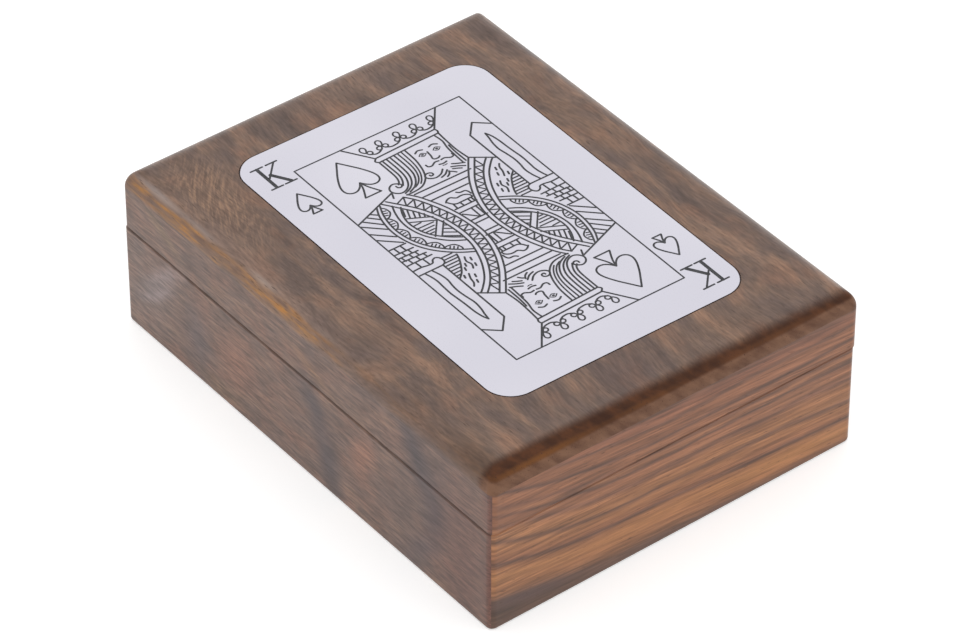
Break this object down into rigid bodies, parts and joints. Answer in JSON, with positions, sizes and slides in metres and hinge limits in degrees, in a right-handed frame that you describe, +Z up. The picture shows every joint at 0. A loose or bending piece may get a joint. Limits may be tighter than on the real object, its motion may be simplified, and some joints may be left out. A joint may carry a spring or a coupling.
{
  "type": "playing card box",
  "caption": "Low wooden box for a deck of playing cards, with a hinged lid and an engraved metal card plate let into its rounded top.",
  "frame": {"origin": "middle of the base's footprint, on the underside that it stands on", "axes": "+X along the long side towards the right end, +Y across towards the hinged back, +Z up"},
  "size_m": [0.1188, 0.0933, 0.0386],
  "materials": {
    "dark_hardwood": "satin lacquer",
    "felt": "napped felt",
    "polished_plate": "polished, engraved",
    "brass_hinge": "polished"
  },
  "bodies": {
    "base": {"base_front_board": "dark_hardwood", "base_back_board": "dark_hardwood", "base_left_board": "dark_hardwood", "base_right_board": "dark_hardwood", "bottom_panel": "dark_hardwood", "base_felt": "felt", "left_hinge_base_leaf": "brass_hinge", "left_hinge_pin": "brass_hinge", "right_hinge_base_leaf": "brass_hinge", "right_hinge_pin": "brass_hinge", "base_hinge_screws": "brass_hinge"},
    "lid": {"lid_front_rail": "dark_hardwood", "lid_back_rail": "dark_hardwood", "lid_left_rail": "dark_hardwood", "lid_right_rail": "dark_hardwood", "top_panel": "dark_hardwood", "card_plate": "polished_plate", "left_hinge_lid_leaf": "brass_hinge", "right_hinge_lid_leaf": "brass_hinge", "lid_hinge_screws": "brass_hinge"}
  },
  "joints": [
    {"name": "lid_hinge", "type": "hinge", "parent": "base", "child": "lid", "pos_m": [0, 0.0468, 0.0241], "axis": [-1, 0, 0], "range_deg": [0, 180]}
  ]
}
